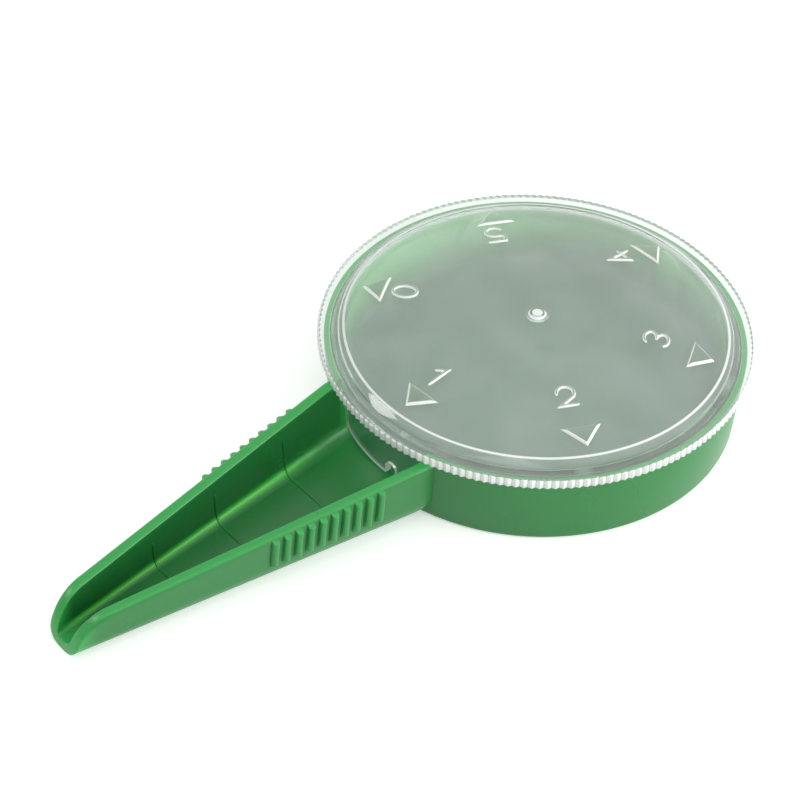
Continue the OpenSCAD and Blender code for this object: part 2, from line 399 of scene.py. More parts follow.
@dataclass(frozen=True)
class LeafGreenPolypropylene:
    """Injection-moulded polypropylene with a leaf-green dye.

    Polished steel leaves a soft gloss. The faint cloudiness is where the melt flowed. The lips,
    the nose and the crease at the channel's foot are painted lighter, as painted glow and painted
    highlight, the cup's inner wall is painted pale as a painted glow, and the channel's walls and the
    cup's floor are painted darker, as painted shade. The skin's own grain is too fine to show, so it
    is drawn coarser.
    """

    colour: str = "#27863f"
    flow_colour: str = "#217a37"
    # painted glow: the up-facing lips and the nose's end are painted a lighter green, as if lit through
    painted_lip_glow_colour: str = "#31a44d"
    # painted highlight: the crease at the foot of the channel's walls is painted a bright yellow-green
    painted_crease_highlight_colour: str = "#46c83c"
    # painted shade: the channel's inner walls are painted a darker green
    painted_channel_shade_colour: str = "#1c6a30"
    # painted glow: the cup's inner wall is painted a pale green, as if lit through
    painted_cup_wall_glow_colour: str = "#b4eeb2"
    # painted shade: the cup's floor under the dial is painted a darker green
    painted_cup_floor_shade_colour: str = "#176338"
    name: str = "moulded_green_polypropylene"
    shine_roughness: Ramp = (0.22, 0.35)
    ior: float = 1.49
    glow: float = 0.35
    glow_reach: Point3 = (0.35, 1.0, 0.3)
    glow_depth_mm: float = 2.0
    flow_mm: float = 14.0
    skin_mm: float = 0.35
    skin_depth_mm: float = 0.0015
    skin_strength: float = 0.15
    # Where each place starts and where it is whole: _x, _y, _z and _r in millimetres, and _up as
    # the height of the surface's normal.
    spout_x: Ramp = (-29.5, -30.0)
    inward_y: Ramp = (0.0, -0.2)
    crease_x: Ramp = (-33.0, -43.0)
    crease_z: Ramp = (4.6, 4.0)
    crease_up: tuple[Ramp, Ramp] = ((0.35, 0.6), (0.95, 0.8))
    nose_x: Ramp = (-81.0, -84.0)
    nose_end_x: Ramp = (-83.0, -85.5)
    lip_z: Ramp = (3.2, 3.8)
    lip_up: Ramp = (0.5, 0.9)
    wall_up: Ramp = (0.4, 0.15)
    cup_wall_r: Ramp = (31.15, 31.05)
    cup_wall_z: Ramp = (2.2, 8.0)
    inward_r: Ramp = (-10.0, -20.0)
    cup_floor_r: Ramp = (30.0, 28.5)
    cup_floor_up: Ramp = (0.7, 0.95)

    def places(self, tree: Tree, where: Socket, flat: Socket, radius: Socket) -> list[tuple[Socket, str]]:
        """Finds where light and shade are painted: painted glow and highlight on lips, nose, crease and cup wall,
        painted shade in the channel and on the cup's floor.

        Args:
            tree: The material's tree.
            where: The point on the piece.
            flat: The point without its height.
            radius: Its distance from the dial's axis.

        Returns:
            Masks with their colours, in the order in which they are laid on.
        """
        normal = add_node(tree, "NewGeometry").outputs["Normal"]
        x, y, z = add_node(tree, "SeparateXYZ", {0: where}).outputs
        _, side, up = add_node(tree, "SeparateXYZ", {0: normal}).outputs
        outward = add_node(tree, "VectorMath", {0: flat, 1: normal}, operation="DOT_PRODUCT").outputs["Value"]
        sideways = add_node(tree, "Math", {0: y, 1: side}, operation="MULTIPLY").outputs[0]
        lip, nose = mask(tree, (z, self.lip_z)), mask(tree, (x, self.nose_x))
        lip_or_nose = add_node(tree, "Math", {0: lip, 1: nose}, operation="MAXIMUM").outputs[0]
        channel = [(x, self.spout_x), (sideways, self.inward_y)]
        crease = channel + [(x, self.crease_x), (z, self.crease_z)] + [(up, ramp) for ramp in self.crease_up]
        cup_wall = [(radius, self.cup_wall_r), (outward, self.inward_r), (z, self.cup_wall_z)]
        return [
            # painted shade on the channel's inner walls
            (mask(tree, *channel, (up, self.wall_up)), self.painted_channel_shade_colour),
            # painted glow on the up-facing lips and the nose
            (mask(tree, (up, self.lip_up), (lip_or_nose, (0.0, 1.0))), self.painted_lip_glow_colour),
            # painted highlight along the channel's creases
            (mask(tree, *crease), self.painted_crease_highlight_colour),
            # painted glow on the nose's end
            (mask(tree, (x, self.nose_end_x)), self.painted_lip_glow_colour),
            # painted shade on the cup's floor
            (mask(tree, (radius, self.cup_floor_r), (up, self.cup_floor_up)), self.painted_cup_floor_shade_colour),
            # painted glow on the cup's inner wall
            (mask(tree, *cup_wall), self.painted_cup_wall_glow_colour),
        ]

    def make(self) -> bpy.types.Material:
        """Builds the material.

        Returns:
            The material.
        """
        material, tree = new_material(self.name)
        where, flat, radius = surface(tree)
        flow = add_node(tree, "TexNoise", {"Vector": where, "Scale": 1 / self.flow_mm, "Detail": 2.0}).outputs["Fac"]
        skin = add_node(tree, "TexNoise", {"Vector": where, "Scale": 1 / self.skin_mm, "Detail": 2.0}).outputs["Fac"]
        colours = {0: flow, 6: linear(self.flow_colour), 7: linear(self.colour)}
        tint = add_node(tree, "Mix", colours, data_type="RGBA").outputs[2]
        for share, place_colour in self.places(tree, where, flat, radius):
            tint = add_node(tree, "Mix", {0: share, 6: tint, 7: linear(place_colour)}, data_type="RGBA").outputs[2]
        depth = {"Strength": self.skin_strength, "Distance": self.skin_depth_mm * MM, "Height": skin}
        rough = add_node(tree, "MapRange", between(flow, (0.0, 1.0), self.shine_roughness)).outputs[0]
        shader = add_node(
            tree,
            "BsdfPrincipled",
            {
                "Base Color": tint,
                "Roughness": rough,
                "IOR": self.ior,
                "Normal": add_node(tree, "Bump", depth).outputs[0],
                "Subsurface Weight": self.glow,
                "Subsurface Radius": self.glow_reach,
                "Subsurface Scale": self.glow_depth_mm * MM,
            },
        )
        add_node(tree, "OutputMaterial", {"Surface": shader.outputs[0]})
        return material


@dataclass(frozen=True)
class ClearPolystyrene:
    """Injection-moulded general-purpose polystyrene.

    It is as clear as glass where the tool is polished, with a faint milky veil on the wide
    cover that is partly real haze and partly a painted reflection, and the cut knurl of the rim
    scatters light to white. The cover's edge, the gate, the ports' sides and the skirt's foot are
    painted white, as painted highlights.
    """

    name: str = "moulded_clear_polystyrene"
    colour: str = "#f4faf6"
    # the cover's milky veil: partly real haze and partly a painted reflection
    haze_and_reflection_colour: str = "#9fb7ab"
    shadow_colour: str = "#e2ebe4"
    ior: float = 1.59
    cover_roughness: Ramp = (0.16, 0.04)
    cover_haze_and_reflection: Ramp = (0.16, 0.2)
    rim_veil: float = 0.78
    # the knurl's own frosted white, also the colour of the painted highlights
    frost_and_highlight_colour: str = "#fbfcfa"
    # painted highlights: the cover's edge, the gate, the ports' sides and the skirt's foot are painted white
    painted_edge_highlight: float = 0.8
    painted_gate_highlight: float = 0.85
    painted_port_highlight: float = 0.6
    painted_foot_highlight: float = 0.45
    cloud_mm: float = 9.0
    cloud_noise: Ramp = (0.3, 0.7)
    cloud_share: Ramp = (0.75, 1.25)
    # Where each place starts and where it is whole: _z and _r in millimetres, _up as the height of
    # the surface's normal, and port_out as how far it points out or in.
    cover_r: Ramp = (28.6, 29.4)
    cover_z: Ramp = (11.9, 12.7)
    polished_r: Ramp = (28.2, 28.6)
    rim_r: Ramp = (32.55, 32.65)
    edge_r: tuple[Ramp, Ramp] = ((28.73, 28.85), (29.24, 29.12))
    edge_z: Ramp = (13.6, 13.7)
    gate_dot_r: Ramp = (0.85, 0.75)
    gate_slope_r: Ramp = (1.7, 1.6)
    gate_slope_up: Ramp = (0.93, 0.8)
    skirt_r: tuple[Ramp, Ramp] = ((26.9, 27.0), (31.6, 31.5))
    port_z: tuple[Ramp, Ramp] = ((2.05, 2.1), (11.05, 11.0))
    port_out: Ramp = (0.35, 0.2)
    foot_z: Ramp = (2.4, 2.3)

    def frost_and_highlight_places(self, tree: Tree, flat: Socket, radius: Socket, height: Socket) -> Socket:
        """Finds where the knurl scatters light to white, and the painted highlights: cover's edge, gate, ports' sides
        and skirt's foot.

        Args:
            tree: The material's tree.
            flat: The point on the dial without its height.
            radius: Its distance from the dial's axis.
            height: Its height above the table.

        Returns:
            How white the surface is.
        """
        normal = add_node(tree, "NewGeometry").outputs["Normal"]
        up = add_node(tree, "SeparateXYZ", {0: normal}).outputs["Z"]
        ray = add_node(tree, "VectorMath", {0: flat}, operation="NORMALIZE").outputs[0]
        outward = add_node(tree, "VectorMath", {0: ray, 1: normal}, operation="DOT_PRODUCT").outputs["Value"]
        out_or_in = add_node(tree, "Math", {0: outward}, operation="ABSOLUTE").outputs[0]
        skirt = [(radius, ramp) for ramp in self.skirt_r]
        places = (
            (self.rim_veil, [(radius, self.rim_r)]),
            # painted highlights from here on: cover's edge, gate, ports' sides and skirt's foot
            (self.painted_edge_highlight, [(radius, ramp) for ramp in self.edge_r] + [(height, self.edge_z)]),
            (self.painted_gate_highlight, [(radius, self.gate_dot_r)]),
            (self.painted_gate_highlight, [(radius, self.gate_slope_r), (up, self.gate_slope_up)]),
            (self.painted_port_highlight, skirt + [(height, ramp) for ramp in self.port_z] + [(out_or_in, self.port_out)]),
            (self.painted_foot_highlight, skirt + [(height, self.foot_z)]),
        )
        white: Socket | float = 0.0
        for level, parts in places:
            place = mask(tree, *parts, level=level)
            white = add_node(tree, "Math", {0: white, 1: place}, operation="MAXIMUM").outputs[0]
        return white

    def make(self) -> bpy.types.Material:
        """Builds the material.

        Returns:
            The material.
        """
        material, tree = new_material(self.name)
        where, flat, radius = surface(tree)
        height = add_node(tree, "SeparateXYZ", {0: where}).outputs["Z"]
        white = self.frost_and_highlight_places(tree, flat, radius, height)
        clouds = add_node(tree, "TexNoise", {"Vector": where, "Scale": 1 / self.cloud_mm, "Detail": 4.0}).outputs["Fac"]
        cloudy = add_node(tree, "MapRange", between(clouds, self.cloud_noise, self.cloud_share)).outputs[0]
        # The cover's veil, partly real haze and partly a painted reflection.
        plain = add_node(tree, "MapRange", between(radius, self.cover_r, self.cover_haze_and_reflection)).outputs[0]
        veil = add_node(tree, "Math", {0: plain, 1: cloudy}, operation="MULTIPLY").outputs[0]
        on_cover = mask(tree, (height, self.cover_z))
        upper = add_node(tree, "Math", {0: veil, 1: on_cover}, operation="MULTIPLY").outputs[0]
        total = add_node(tree, "Math", {0: upper, 1: white}, operation="ADD", use_clamp=True).outputs[0]
        colours = {0: total, 6: linear(self.colour), 7: linear(self.haze_and_reflection_colour)}
        milky = add_node(tree, "Mix", colours, data_type="RGBA").outputs[2]
        # white holds the knurl's frost and the painted highlights
        whitened = {0: white, 6: milky, 7: linear(self.frost_and_highlight_colour)}
        rough = add_node(tree, "MapRange", between(radius, self.polished_r, self.cover_roughness))
        shader = add_node(
            tree,
            "BsdfPrincipled",
            {
                "Base Color": add_node(tree, "Mix", whitened, data_type="RGBA").outputs[2],
                "Roughness": rough.outputs[0],
                "IOR": self.ior,
                "Transmission Weight": add_node(tree, "Math", {0: 1.0, 1: total}, operation="SUBTRACT").outputs[0],
            },
        )
        let_lamps_through(tree, shader, self.shadow_colour)
        return material


@dataclass(frozen=True)
class RaisedPolystyrene:
    """The same polystyrene where the tool's cut lines left raised marks.

    Their narrow flanks aren't polished, so they catch the light and look white.
    """

    colour: str = "#fbfdf8"
    shadow_colour: str = "#f0f6f1"
    ior: float = 1.59
    roughness: float = 0.1
    clearness: Ramp = (0.05, 0.95)
    top_up: Ramp = (0.85, 0.95)

    def make(self) -> bpy.types.Material:
        """Builds the material.

        Returns:
            The material.
        """
        material, tree = new_material("raised_clear_polystyrene")
        normal = add_node(tree, "NewGeometry").outputs["Normal"]
        up = add_node(tree, "SeparateXYZ", {0: normal}).outputs["Z"]
        clear = add_node(tree, "MapRange", between(up, self.top_up, self.clearness)).outputs[0]
        shader = add_node(
            tree,
            "BsdfPrincipled",
            {
                "Base Color": linear(self.colour),
                "Roughness": self.roughness,
                "IOR": self.ior,
                "Transmission Weight": clear,
            },
        )
        let_lamps_through(tree, shader, self.shadow_colour)
        return material


# ---------------------------------------------------------------- the green moulding


@dataclass
class Trough:
    """The spout's form: a tapered trough whose sides lean out, with a rounded nose."""

    start_u: float = 31.0
    reach_u: float = 86.6
    start_foot: float = 21.8
    end_foot: float = 6.2
    wall: float = 1.8
    floor: float = 1.7
    lean_deg: float = 4.8
    start_lip_z: float = 11.3
    nose_z: float = 7.1
    nose_len: float = 6.6
    start_corner: float = 2.4
    end_corner: float = 0.9
    outer_round: float = 0.55
    inner_round: float = 0.3
    root_gap: float = 0.3
    side_steps: int = 30
    nose_steps: int = 26
    rise_steps: int = 5
    corner_arc: tuple[float, ...] = (0, 12, 24, 36, 48, 60, 72, 85.2)
    outer_arc: tuple[float, ...] = (22, 45, 68, 90)
    inner_arc: tuple[float, ...] = (30, 60, 90)

    @property
    def nose_u(self) -> float:
        """Where the nose starts to round off."""
        return self.reach_u - self.nose_len

    @property
    def lean(self) -> float:
        """How far the walls lean out for each millimetre up."""
        return math.tan(math.radians(self.lean_deg))

    def share(self, u: float, end_u: float) -> float:
        """How far u lies between the cup and end_u, from 0 to 1."""
        return (u - self.start_u) / (end_u - self.start_u)

    def foot_half(self, u: float) -> float:
        """Half the spout's outer width at z = 0."""
        return (self.start_foot + (self.end_foot - self.start_foot) * self.share(u, self.reach_u)) / 2

    def corner(self, u: float) -> float:
        """Radius inside the channel's corners."""
        return self.start_corner + (self.end_corner - self.start_corner) * self.share(u, self.reach_u)

    def lip_z(self, u: float) -> float:
        """Finds the height of the lips, with the rounded nose.

        Args:
            u: Distance from the dial's axis.

        Returns:
            The height.
        """
        if u <= self.nose_u:
            return self.start_lip_z + (self.nose_z - self.start_lip_z) * self.share(u, self.nose_u)
        turn = min(1.0, (u - self.nose_u) / self.nose_len)
        return self.nose_z * math.sqrt(max(0.0, 1 - turn * turn))

    def side_y(self, u: float, z: float, inner: bool) -> float:
        """Distance of a wall's face from the middle.

        Args:
            u: Distance from the dial's axis.
            z: Height.
            inner: The channel's face, and not the outside.

        Returns:
            The distance in millimetres.
        """
        low = self.floor if inner else 0.0
        r = self.corner(u) + (0.0 if inner else self.wall)
        half = self.foot_half(u) - (self.wall if inner else 0.0)
        centre_z = low + r
        centre_y = half + centre_z * self.lean - r / math.cos(math.radians(self.lean_deg))
        touch_z = centre_z - r * math.sin(math.radians(self.lean_deg))
        if z >= touch_z:
            return half + z * self.lean
        drop = max(-r, z - centre_z)
        return centre_y + math.sqrt(max(0.0, r * r - drop * drop))

    def heights(self, u: float, top: float, inner: bool) -> list[float]:
        """Heights at which a wall's face is drawn, from its foot up to the lip's rounding.

        Args:
            u: Distance from the dial's axis.
            top: The highest.
            inner: The channel's face, and not the outside.

        Returns:
            The heights, always equally many.
        """
        low = self.floor if inner else 0.0
        r = self.corner(u) + (0.0 if inner else self.wall)
        bend = [low + r * (1 - math.cos(math.radians(a))) for a in self.corner_arc]
        rise = [bend[-1] + (top - bend[-1]) * k / self.rise_steps for k in range(1, self.rise_steps + 1)]
        return [min(z, top) if top > low else top for z in bend + rise]

    def section(self, u: float) -> list[Point]:
        """The trough's closed section.

        Args:
            u: Distance from the dial's axis.

        Returns:
            Points (y, z).
        """
        high = self.lip_z(u)
        outer_r = min(self.outer_round, 0.4 * high)
        inner_r = min(self.inner_round, 0.25 * high)
        half: list[Point] = [(0.0, 0.0)]
        for z in self.heights(u, high - outer_r, False):
            half.append((self.side_y(u, z, False), z))
        for a in self.outer_arc:
            z = high - outer_r + outer_r * math.sin(math.radians(a))
            y = self.side_y(u, z, False) - outer_r * (1 - math.cos(math.radians(a)))
            half.append((y, z))
        down = []
        for z in self.heights(u, high - inner_r, True):
            down.append((self.side_y(u, max(z, self.floor), True), z))
        for a in self.inner_arc:
            z = high - inner_r + inner_r * math.sin(math.radians(a))
            y = self.side_y(u, max(z, self.floor), True) + inner_r * (1 - math.cos(math.radians(a)))
            down.append((y, z))
        half += list(reversed(down))
        half.append((0.0, min(self.floor, high)))
        return half + [(-y, z) for y, z in reversed(half[1:-1])]

    def channel_section(self, u: float, high: float, skin: float) -> list[Point]:
        """The channel's section at u as a closed shape up to a height, for cutting the cup's wall.

        Args:
            u: Distance from the dial's axis.
            high: Height of its top.
            skin: How much wider and lower it is than the channel.

        Returns:
            Points (y, z).
        """
        side = [(self.side_y(u, z, True) + skin, z - skin) for z in self.heights(u, high, True)]
        return side + [(-y, z) for y, z in reversed(side)]

    def stations(self) -> list[float]:
        """Distances at which sections are drawn.

        Returns:
            Even steps along the sides, and closer ones at the nose.
        """
        first = self.start_u + self.root_gap
        sides = [first + (self.nose_u - first) * k / self.side_steps for k in range(self.side_steps + 1)]
        turns = [math.radians(90 * k / self.nose_steps) for k in range(1, self.nose_steps + 1)]
        return sides + [self.nose_u + self.nose_len * math.sin(turn) for turn in turns]


@dataclass
class SeedCup:
    """The round cup that holds the seed."""

    trough: Trough
    finish: bpy.types.Material
    foot_r: float = 31.0
    lean_deg: float = 4.0
    wall: float = 1.0
    height: float = 11.45
    floor: float = 1.7
    foot_round: float = 0.6
    rim_round: float = 0.25
    inside_round: float = 0.8
    groove_z: float = 9.55
    groove_half: float = 0.75
    groove_depth: float = 0.4
    cutter_start: float = 29.4
    cutter_end: float = 34.0
    cutter_skin: float = 0.02
    cutter_over: float = 3.0
    steps: int = 288
    sharp_deg: float = 32.0

    def profile(self) -> list[Point]:
        """The cup's section.

        Returns:
            Points (r, z) from the middle of its underside round to the middle of its floor.
        """
        top, round_r = self.height, self.rim_round
        points: list[Point] = [(0, 0)]
        foot, inside = self.foot_round, self.floor + self.inside_round
        points += arc((self.outer_r(foot) - foot, foot), foot, -90, -self.lean_deg, 5)
        points += arc((self.outer_r(top) - round_r, top - round_r), round_r, 0, 90, 4)
        points += arc((self.inner_r(top) + round_r, top - round_r), round_r, 90, 180, 4)
        deep = self.inner_r(self.groove_z) + self.groove_depth
        for share, r in ((1, 0.0), (0.5, deep), (-0.5, deep), (-1, 0.0)):
            z = self.groove_z + share * self.groove_half
            points.append((r or self.inner_r(z), z))
        points += arc((self.inner_r(inside) - self.inside_round, inside), self.inside_round, 0, -90, 5)
        return points + [(0, self.floor)]

    def outer_r(self, z: float) -> float:
        """Radius outside the leaning wall at a height."""
        return self.foot_r + z * math.tan(math.radians(self.lean_deg))

    def inner_r(self, z: float) -> float:
        """Radius inside the leaning wall at a height."""
        return self.outer_r(z) - self.wall

    def mouth_cutter(self) -> Piece:
        """Makes the channel's own section, drawn through the wall and up past the rim.

        Returns:
            A closed object, for cutting.
        """
        section = self.trough.channel_section(self.foot_r, self.height + self.cutter_over, self.cutter_skin)
        inner = [(-math.sqrt(self.cutter_start**2 - y * y), y, z) for y, z in section]
        outer = [(-self.cutter_end, y, z) for y, z in section]
        return to_object("mouth_cutter", loft([inner, outer]))

    def build(self, spout: Piece) -> None:
        """Builds the cup, opens its mouth, joins the spout to it and dresses both in one.

        Args:
            spout: The spout's trough, whose root lies in the cup's wall. It becomes part of the cup.
        """
        cup = to_object("cup_and_spout", revolve(self.profile(), self.steps))
        combine(cup, Operation.CUT, [self.mouth_cutter()], self.sharp_deg)
        combine(cup, Operation.JOIN, [spout], self.sharp_deg)
        finish_piece(cup, self.finish, Body.HOUSING, ["seed_cup", "spout"])


@dataclass
class PouringSpout:
    """The open spout, with three thin lines moulded across its channel."""

    trough: Trough
    finish: bpy.types.Material
    root_foot_r: float = 30.7
    root_lean_deg: float = 4.0
    line_u: tuple[float, ...] = (41.5, 55.5, 67.7)
    line_w: float = 0.35
    line_h: float = 0.2
    line_stop: float = 2.5
    line_sunk: float = 0.1
    line_end: float = 0.35
    sharp_deg: float = 50.0

    def trough_shape(self) -> Piece:
        """Makes the trough for the cup to be joined to, with its root in the cup's leaning wall.

        Returns:
            The trough, undressed.
        """
        lean = math.tan(math.radians(self.root_lean_deg))
        section = self.trough.section(self.trough.start_u)
        root = [(-math.sqrt((self.root_foot_r + z * lean) ** 2 - y * y), y, z) for y, z in section]
        loops = [root] + [[(-u, y, z) for y, z in self.trough.section(u)] for u in self.trough.stations()]
        return to_object("spout_trough", loft(loops))

    def build_lines(self) -> None:
        """Builds and dresses the lines across the channel."""
        lines = to_object("channel_cross_lines", self.line_mesh(), self.sharp_deg)
        finish_piece(lines, self.finish, Body.HOUSING, [])

    def line_path(self, u: float) -> list[tuple[Point, Point]]:
        """A line's path over the channel.

        Args:
            u: Its distance from the dial's axis.

        Returns:
            Points (y, z), each with the way out of the skin.
        """
        top = self.trough.lip_z(u) - self.line_stop
        side = [(self.trough.side_y(u, z, True), z) for z in self.trough.heights(u, top, True)]
        path = [(-y, z) for y, z in reversed(side)] + [(0.0, self.trough.floor)] + side
        out = []
        for k, point in enumerate(path):
            before, after = path[max(0, k - 1)], path[min(len(path) - 1, k + 1)]
            dy, dz = after[0] - before[0], after[1] - before[1]
            size = math.hypot(dy, dz) or 1.0
            out.append((point, (-dz / size, dy / size)))
        return out

    def line_mesh(self) -> BMesh:
        """Makes the lines: low ridges with a rounded back, sunk a little into the skin.

        Returns:
            All the lines in one mesh.
        """
        whole = bmesh.new()
        half, sunk, high = self.line_w / 2, self.line_sunk, self.line_h
        ridge = ((-half, -sunk), (-half, sunk), (-half / 2, high), (half / 2, high), (half, sunk), (half, -sunk))
        for u in self.line_u:
            path = self.line_path(u)
            loops = []
            for k, ((y, z), (ny, nz)) in enumerate(path):
                share = self.line_end if k in (0, len(path) - 1) else 1.0
                lifts = [(along, up * share if up > 0 else up) for along, up in ridge]
                loops.append([(along - u, y + ny * up, z + nz * up) for along, up in lifts])
            add_part(whole, loft(loops))
        return whole


@dataclass
class GripRibs:
    """Upright ribs on one side of the spout, for the fingers."""

    trough: Trough
    finish: bpy.types.Material
    side: Side
    count: int = 10
    first_u: float = 38.4
    pitch: float = 1.9
    width: float = 1.05
    stand: float = 0.8
    stop: float = 0.25
    sunk: float = 0.15
    end_round: float = 0.3
    fullness: float = 0.6
    steps: int = 14
    ring_deg: tuple[float, ...] = (180, 155, 125, 90, 55, 25, 0)
    sharp_deg: float = 50.0

    def build(self) -> None:
        """Builds and dresses the ribs."""
        whole = bmesh.new()
        for k in range(self.count):
            self.add_rib(whole, self.first_u + k * self.pitch)
        bmesh.ops.recalc_face_normals(whole, faces=whole.faces)
        name = f"{self.side.name.lower()}_grip_ribs"
        ribs = to_object(f"{name}_moulded", whole, self.sharp_deg)
        finish_piece(ribs, self.finish, Body.HOUSING, [name])

    def add_rib(self, bm: BMesh, u: float) -> None:
        """Adds one rib: a rounded bar against the leaning wall, with rounded ends.

        Args:
            bm: The mesh that it is added to.
            u: Distance of its middle from the dial's axis.
        """
        low = self.trough.corner(u) + self.trough.wall
        high = self.trough.lip_z(u) - self.stop
        half = self.width / 2
        rows = []
        for k in range(self.steps + 1):
            z = low + (high - low) * k / self.steps
            end = min(z - low, high - z)
            rise = self.stand * math.sqrt(max(0.0, 1 - max(0.0, 1 - end / self.end_round) ** 2))
            ring = []
            for a in self.ring_deg:
                x = -u + half * math.cos(math.radians(a))
                out = -self.sunk if a in (180, 0) else rise * math.sin(math.radians(a)) ** self.fullness
                y = self.trough.side_y(-x, z, False) + out
                ring.append(bm.verts.new((x, self.side.value * y, z)))
            rows.append(ring)
        skin_rows(bm, rows)


# ---------------------------------------------------------------- the clear moulding


@dataclass
class DialForm:
    """Heights and angles that the clear dial and its marks share."""

    shoulder_r: float = 29.1
    shoulder_z: float = 14.2
    dome_h: float = 2.1
    turned_deg: float = 4.6
    marks: int = 6

    def dome_z(self, r: float) -> float:
        """Height of the domed top at a radius."""
        return self.shoulder_z + self.dome_h * (1 - (r / self.shoulder_r) ** 2)

    def mark_deg(self, n: int) -> float:
        """Angle of mark n about the axis."""
        return 180 + self.turned_deg + (n - 1) * 360 / self.marks


@dataclass
class ClearDial:
    """The clear lid in one piece: domed cover, knurled rim and ported skirt."""

    form: DialForm
    finish: bpy.types.Material
    rim_r: float = 32.9
    rim_inner_r: float = 30.4
    rim_low_z: float = 11.7
    rim_top_z: float = 13.2
    teeth: int = 180
    tooth: float = 0.3
    cover_t: float = 1.4
    skirt_foot_r: float = 29.75
    skirt_lean_deg: float = 4.0
    skirt_t: float = 1.2
    skirt_low_z: float = 2.0
    bead_z: float = 9.55
    bead: float = 0.4
    port_w: float = 2.1
    port_step: float = 1.6
    port_rise: float = 1.3
    port_bridge: float = 0.8
    gate_r: float = 1.8
    gate_h: float = 0.45
    steps_per_tooth: int = 4
    cutter_r: Ramp = (26.0, 32.0)
    cutter_steps: int = 28
    sharp_deg: float = 25.0

    def profile(self) -> list[Point]:
        """The dial's section.

        Returns:
            Points (r, z) from the middle of its top round to the middle of its underside.
        """
        form = self.form
        points: list[Point] = [(0, form.dome_z(0) + self.gate_h)]
        gate = ((0.45, 1.0), (0.62, 0.9), (0.78, 0.35), (0.9, 0.3), (1.0, 0.0))
        points += [(self.gate_r * share, form.dome_z(0) + self.gate_h * up) for share, up in gate]
        points += [(r, form.dome_z(r)) for r in (3.2, 6, 9, 12, 15, 18, 21, 24, 26.5, 28.2, 28.8)]
        edge, foot, top, low = form.shoulder_r, self.rim_inner_r, self.rim_top_z, self.rim_low_z
        points += [(edge, form.shoulder_z - 0.02), (edge + 0.15, form.shoulder_z - 0.13)]
        points += [(foot - 0.12, top + 0.1), (foot + 0.1, top)]
        points += [(self.rim_r - 0.5, top), (self.rim_r - 0.15, top)]
        points += [(self.rim_r, top - 0.15), (self.rim_r, low + 0.15), (self.rim_r - 0.2, low)]
        points += [(self.skirt_out_r(low) + 0.25, low), (self.skirt_out_r(low - 0.3), low - 0.3)]
        for share, out in ((0.5, 0), (0.25, 1), (-0.25, 1), (-0.5, 0)):
            z = self.bead_z + share
            points.append((self.skirt_out_r(self.bead_z) + self.bead if out else self.skirt_out_r(z), z))
        base, t = self.skirt_low_z, self.skirt_t
        points += [(self.skirt_out_r(base + 0.15), base + 0.15), (self.skirt_out_r(base) - 0.15, base)]
        points += [(self.skirt_out_r(base) - t + 0.15, base), (self.skirt_out_r(base + 0.15) - t, base + 0.15)]
        points += [(self.skirt_out_r(12.3) - t, 12.3), (self.skirt_out_r(12.3) - t - 0.2, 12.62)]
        return points + [(r, form.dome_z(r) - self.cover_t) for r in (28.7, 27.5, 26.5, 24, 20, 16, 12, 8, 4, 0)]

    def skirt_out_r(self, z: float) -> float:
        """Radius outside the leaning skirt at a height."""
        return self.skirt_foot_r + z * math.tan(math.radians(self.skirt_lean_deg))

    def knurl(self, step: int, r: float) -> float:
        """Draws the rim's outer points in and out for its teeth.

        Args:
            step: The point's step about the axis.
            r: Its plain radius.

        Returns:
            Its radius.
        """
        if r < self.rim_r - 0.25:
            return r
        phase = step % self.steps_per_tooth / self.steps_per_tooth
        return r - self.tooth * (1 - abs(2 * phase - 1))

    def port_cutter(self, n: int) -> Piece:
        """The shape of port n: straight sides and a round top, drawn through the skirt.

        Args:
            n: The mark that the port lies under, from 1.

        Returns:
            A closed object, for cutting.
        """
        r = (self.port_w + (n - 1) * self.port_step) / 2
        high = min(self.port_rise * 2 * r, self.rim_low_z - self.skirt_low_z - self.port_bridge)
        straight = self.skirt_low_z + max(0.0, high - r)
        under = self.skirt_low_z - 1
        outline = [(-r, under)] + arc((0, straight), r, 180, 0, self.cutter_steps) + [(r, under)]
        bm = loft([[(out, y, z) for y, z in outline] for out in self.cutter_r])
        turn = Matrix.Rotation(math.radians(self.form.mark_deg(n)), 3, "Z")
        bmesh.ops.rotate(bm, cent=(0, 0, 0), matrix=turn, verts=bm.verts)
        return to_object(f"port_cutter_{n}", bm)

    def build(self) -> None:
        """Builds and dresses the dial."""
        bm = revolve(self.profile(), self.teeth * self.steps_per_tooth, self.knurl)
        dial = to_object("clear_dial", bm, self.sharp_deg)
        combine(dial, Operation.CUT, [self.port_cutter(n) for n in range(1, self.form.marks)], self.sharp_deg)
        finish_piece(dial, self.finish, Body.DIAL, ["dial_cover", "knurled_rim", "port_skirt"])


